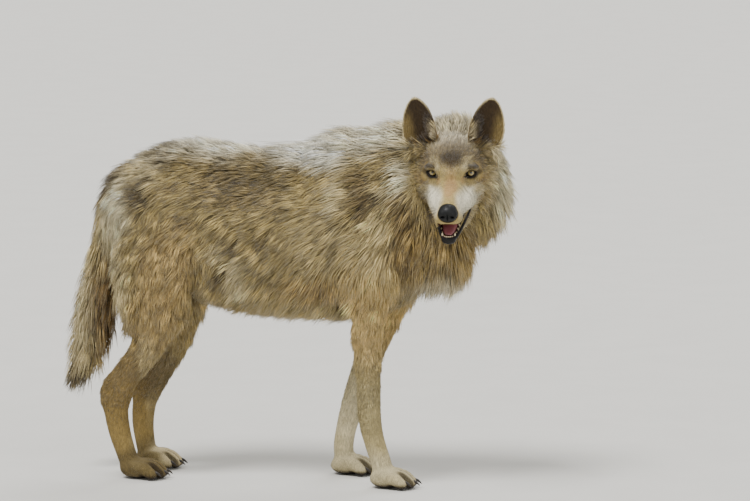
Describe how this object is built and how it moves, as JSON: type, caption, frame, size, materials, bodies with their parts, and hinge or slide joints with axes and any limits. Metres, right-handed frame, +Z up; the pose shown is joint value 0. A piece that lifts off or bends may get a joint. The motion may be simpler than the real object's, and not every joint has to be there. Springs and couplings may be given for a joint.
{
  "type": "timber wolf",
  "caption": "Adult timber wolf standing in profile with its head turned to its right, mouth a little open, as a still life-size figure",
  "frame": {"origin": "middle of the model's box at the level of the soles", "axes": "+X the way the body faces, +Y its left side, +Z up"},
  "size_m": [1.0162, 0.3748, 0.8582],
  "materials": {
    "coat": "long grey-brown fur with dark tips",
    "pale_coat": "short cream fur",
    "nose": "damp black skin",
    "eye": "wet amber eye",
    "tongue": "moist pink",
    "claw": "dark horn"
  },
  "bodies": {
    "root": {"ear_left": "coat", "ear_right": "coat", "eye_left": "eye", "eye_right": "eye", "foreleg_left_claw_1": "claw", "foreleg_left_claw_2": "claw", "foreleg_left_claw_3": "claw", "foreleg_left_claw_4": "claw", "foreleg_left_forearm": "coat", "foreleg_left_pastern": "pale_coat", "foreleg_left_paw": "pale_coat", "foreleg_right_claw_1": "claw", "foreleg_right_claw_2": "claw", "foreleg_right_claw_3": "claw", "foreleg_right_claw_4": "claw", "foreleg_right_forearm": "coat", "foreleg_right_pastern": "pale_coat", "foreleg_right_paw": "pale_coat", "head": "coat", "hindleg_left_claw_1": "claw", "hindleg_left_claw_2": "claw", "hindleg_left_claw_3": "claw", "hindleg_left_claw_4": "claw", "hindleg_left_metatarsus": "coat", "hindleg_left_paw": "pale_coat", "hindleg_left_shank": "coat", "hindleg_left_thigh": "coat", "hindleg_right_claw_1": "claw", "hindleg_right_claw_2": "claw", "hindleg_right_claw_3": "claw", "hindleg_right_claw_4": "claw", "hindleg_right_metatarsus": "coat", "hindleg_right_paw": "pale_coat", "hindleg_right_shank": "coat", "hindleg_right_thigh": "coat", "jaw": "pale_coat", "muzzle": "pale_coat", "neck": "coat", "nose": "nose", "tail_base": "coat", "tail_end": "coat", "tongue": "tongue", "trunk": "coat"}
  },
  "joints": []
}
